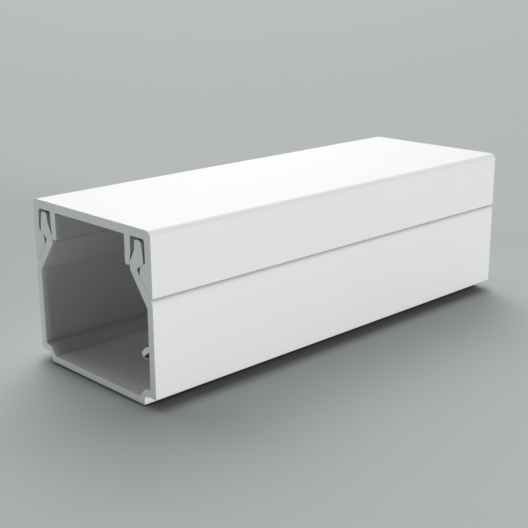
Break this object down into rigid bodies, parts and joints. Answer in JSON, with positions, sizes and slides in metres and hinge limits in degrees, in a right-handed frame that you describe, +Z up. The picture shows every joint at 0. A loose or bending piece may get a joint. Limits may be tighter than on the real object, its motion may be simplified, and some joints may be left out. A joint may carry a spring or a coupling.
{
  "type": "cable trunking",
  "caption": "Straight length of white PVC cable trunking: a deep channel with clip ribs on its walls and a clip-on lid, open at both ends to carry cables.",
  "frame": {"origin": "middle of the flat mounting face under the base's floor", "axes": "+X along the trunking's length, +Y across it away from the wall with the inner fin, +Z up through the lid"},
  "size_m": [0.1114, 0.04, 0.0358],
  "materials": {
    "base_pvc": "satin",
    "lid_pvc": "satin"
  },
  "bodies": {
    "base": {"base": "base_pvc"},
    "lid": {"lid": "lid_pvc"}
  },
  "joints": [
    {"name": "lid_slide", "type": "slide", "parent": "base", "child": "lid", "axis": [1, 0, 0], "range_m": [-0.113, 0.113]}
  ]
}
